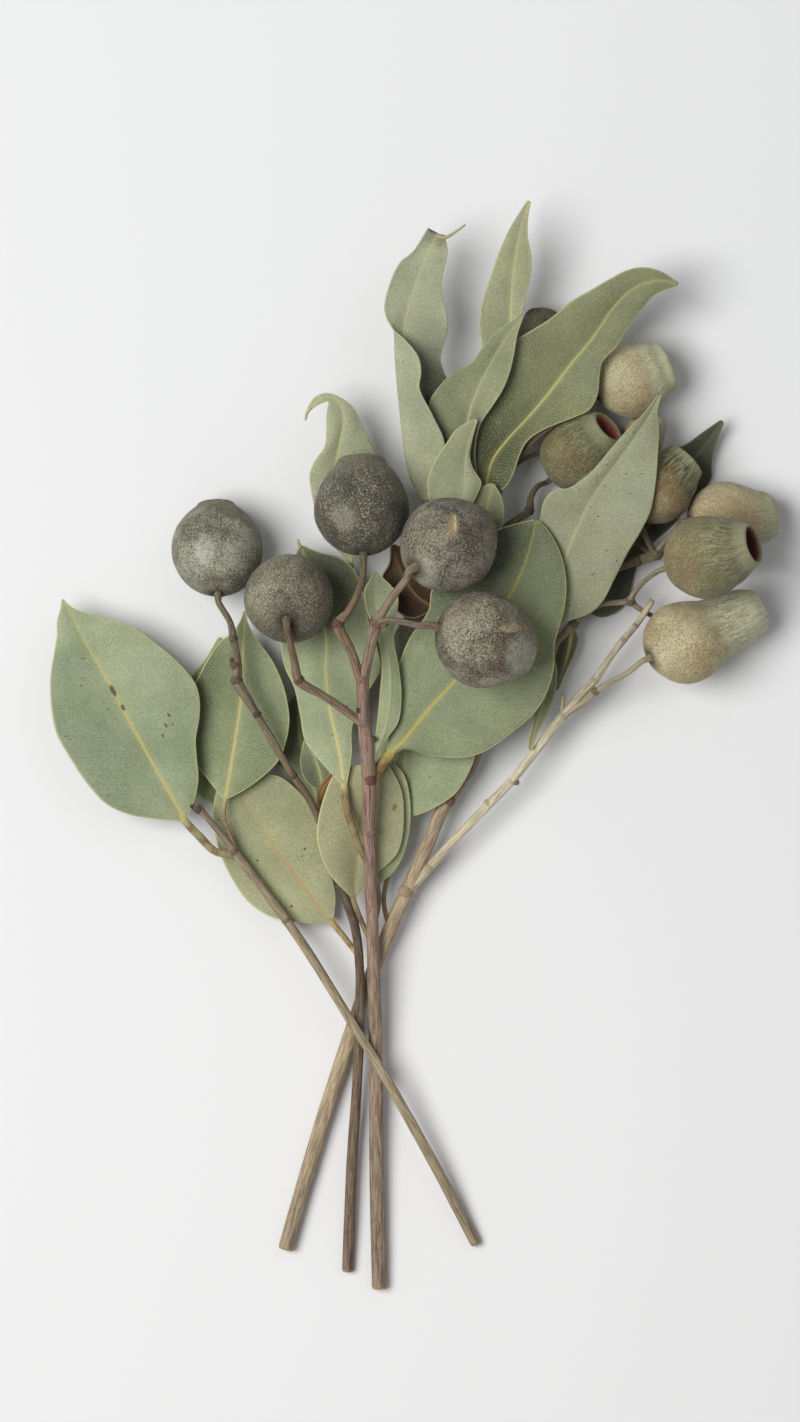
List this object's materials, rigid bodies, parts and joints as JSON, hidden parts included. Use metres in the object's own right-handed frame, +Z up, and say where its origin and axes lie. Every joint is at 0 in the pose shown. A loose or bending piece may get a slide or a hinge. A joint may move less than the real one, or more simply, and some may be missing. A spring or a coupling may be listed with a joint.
{
  "type": "dried eucalyptus pod bunch",
  "caption": "Loose bunch of dried eucalyptus lying flat: cut branches with broad grey-green leaves and round, short-necked seed pods in grey-brown and tan.",
  "frame": {"origin": "on the surface the bunch lies on, under the centre of its bounding box", "axes": "+Y from the cut stem ends to the leaf tips, +X to the right as seen from above, +Z up"},
  "size_m": [0.2621, 0.3925, 0.0648],
  "materials": {
    "bark": "matt, with fine lengthwise grain",
    "leaf_green": "dry and matt, with a waxy bloom",
    "leaf_brown": "dry and matt",
    "pod_grey": "matt and woody, frosted in patches",
    "pod_tan": "matt and woody, finely striated"
  },
  "bodies": {
    "root": {"bract_brown": "leaf_brown", "branch_left_leafy": "bark", "branch_left_pods": "bark", "branch_main": "bark", "branch_right": "bark", "leaf_brown_curled": "leaf_brown", "leaf_centre_back": "leaf_green", "leaf_centre_broad": "leaf_green", "leaf_inner_dark": "leaf_green", "leaf_inner_small": "leaf_green", "leaf_left_back": "leaf_green", "leaf_left_large": "leaf_green", "leaf_left_pointed": "leaf_green", "leaf_low_left": "leaf_green", "leaf_low_middle": "leaf_green", "leaf_low_middle_back": "leaf_green", "leaf_middle_long": "leaf_green", "leaf_middle_narrow": "leaf_green", "leaf_right_back": "leaf_green", "leaf_right_hanging": "leaf_green", "leaf_right_tall": "leaf_green", "leaf_right_twisted": "leaf_green", "leaf_top_bud": "leaf_green", "leaf_top_folded": "leaf_green", "leaf_top_long": "leaf_green", "leaf_top_middle": "leaf_green", "leaf_top_narrow": "leaf_green", "leaf_top_small": "leaf_green", "leaf_upper_left": "leaf_green", "pod_centre": "pod_grey", "pod_left": "pod_grey", "pod_left_inner": "pod_grey", "pod_right_inner": "pod_tan", "pod_right_lower": "pod_tan", "pod_right_middle": "pod_tan", "pod_right_small": "pod_tan", "pod_right_upper": "pod_tan", "pod_top_hidden": "pod_tan", "pod_top_inner": "pod_tan", "pod_top_right": "pod_tan", "pod_upper_left": "pod_grey", "pod_upper_middle": "pod_grey"}
  },
  "joints": []
}
